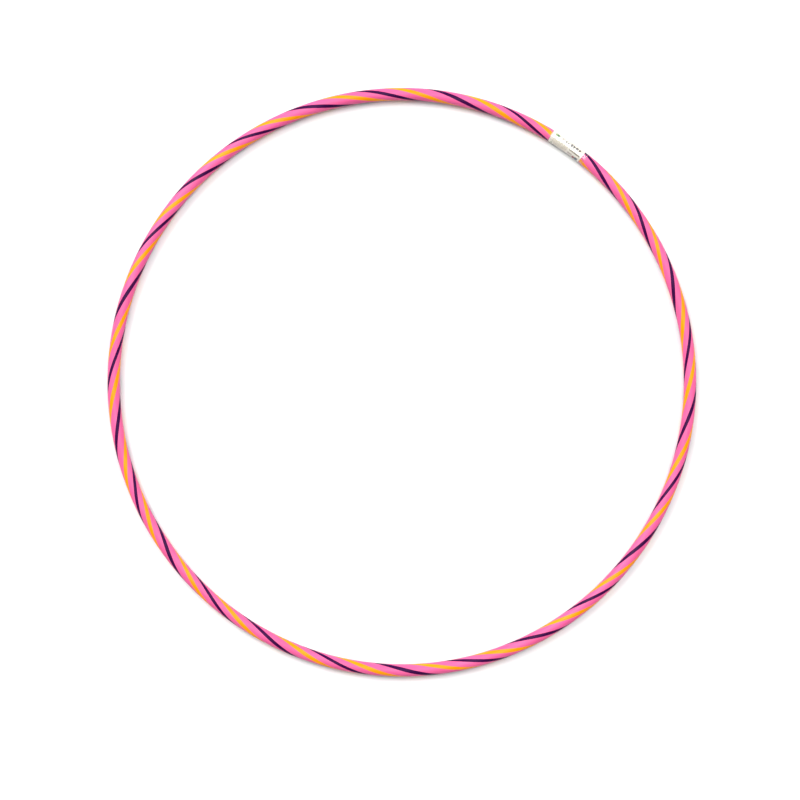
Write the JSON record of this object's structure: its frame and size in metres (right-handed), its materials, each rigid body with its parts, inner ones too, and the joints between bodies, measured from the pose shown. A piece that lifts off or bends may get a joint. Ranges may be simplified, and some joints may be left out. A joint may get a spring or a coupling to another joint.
{
  "type": "rhythmic hoop",
  "caption": "Striped plastic gymnastics hoop: a thin round tube bent into a ring, its ends joined by a stapled plug under a wrapped label and clear tape.",
  "frame": {"origin": "centre of the ring, at the middle of the tube's height", "axes": "+Z is the ring's axis, pointing away from the floor when it lies flat; +X points from the centre to the joint in the tube"},
  "size_m": [0.8506, 0.8501, 0.0188],
  "materials": {
    "tube_pink": "extruded, semi-gloss",
    "stripe_navy": "coloured skin, semi-gloss",
    "stripe_orange": "coloured skin, semi-gloss",
    "plug_natural": "moulded, uncoloured",
    "staple_steel": "bright flat wire",
    "label_print": null,
    "tape_clear": "clear glossy tape"
  },
  "bodies": {
    "root": {"hoop_tube": "tube_pink", "navy_stripe_1": "stripe_navy", "navy_stripe_2": "stripe_navy", "orange_stripe_1": "stripe_orange", "orange_stripe_2": "stripe_orange", "joint_plug": "plug_natural", "left_staple": "staple_steel", "right_staple": "staple_steel", "label": "label_print", "clear_tape": "tape_clear"}
  },
  "joints": []
}
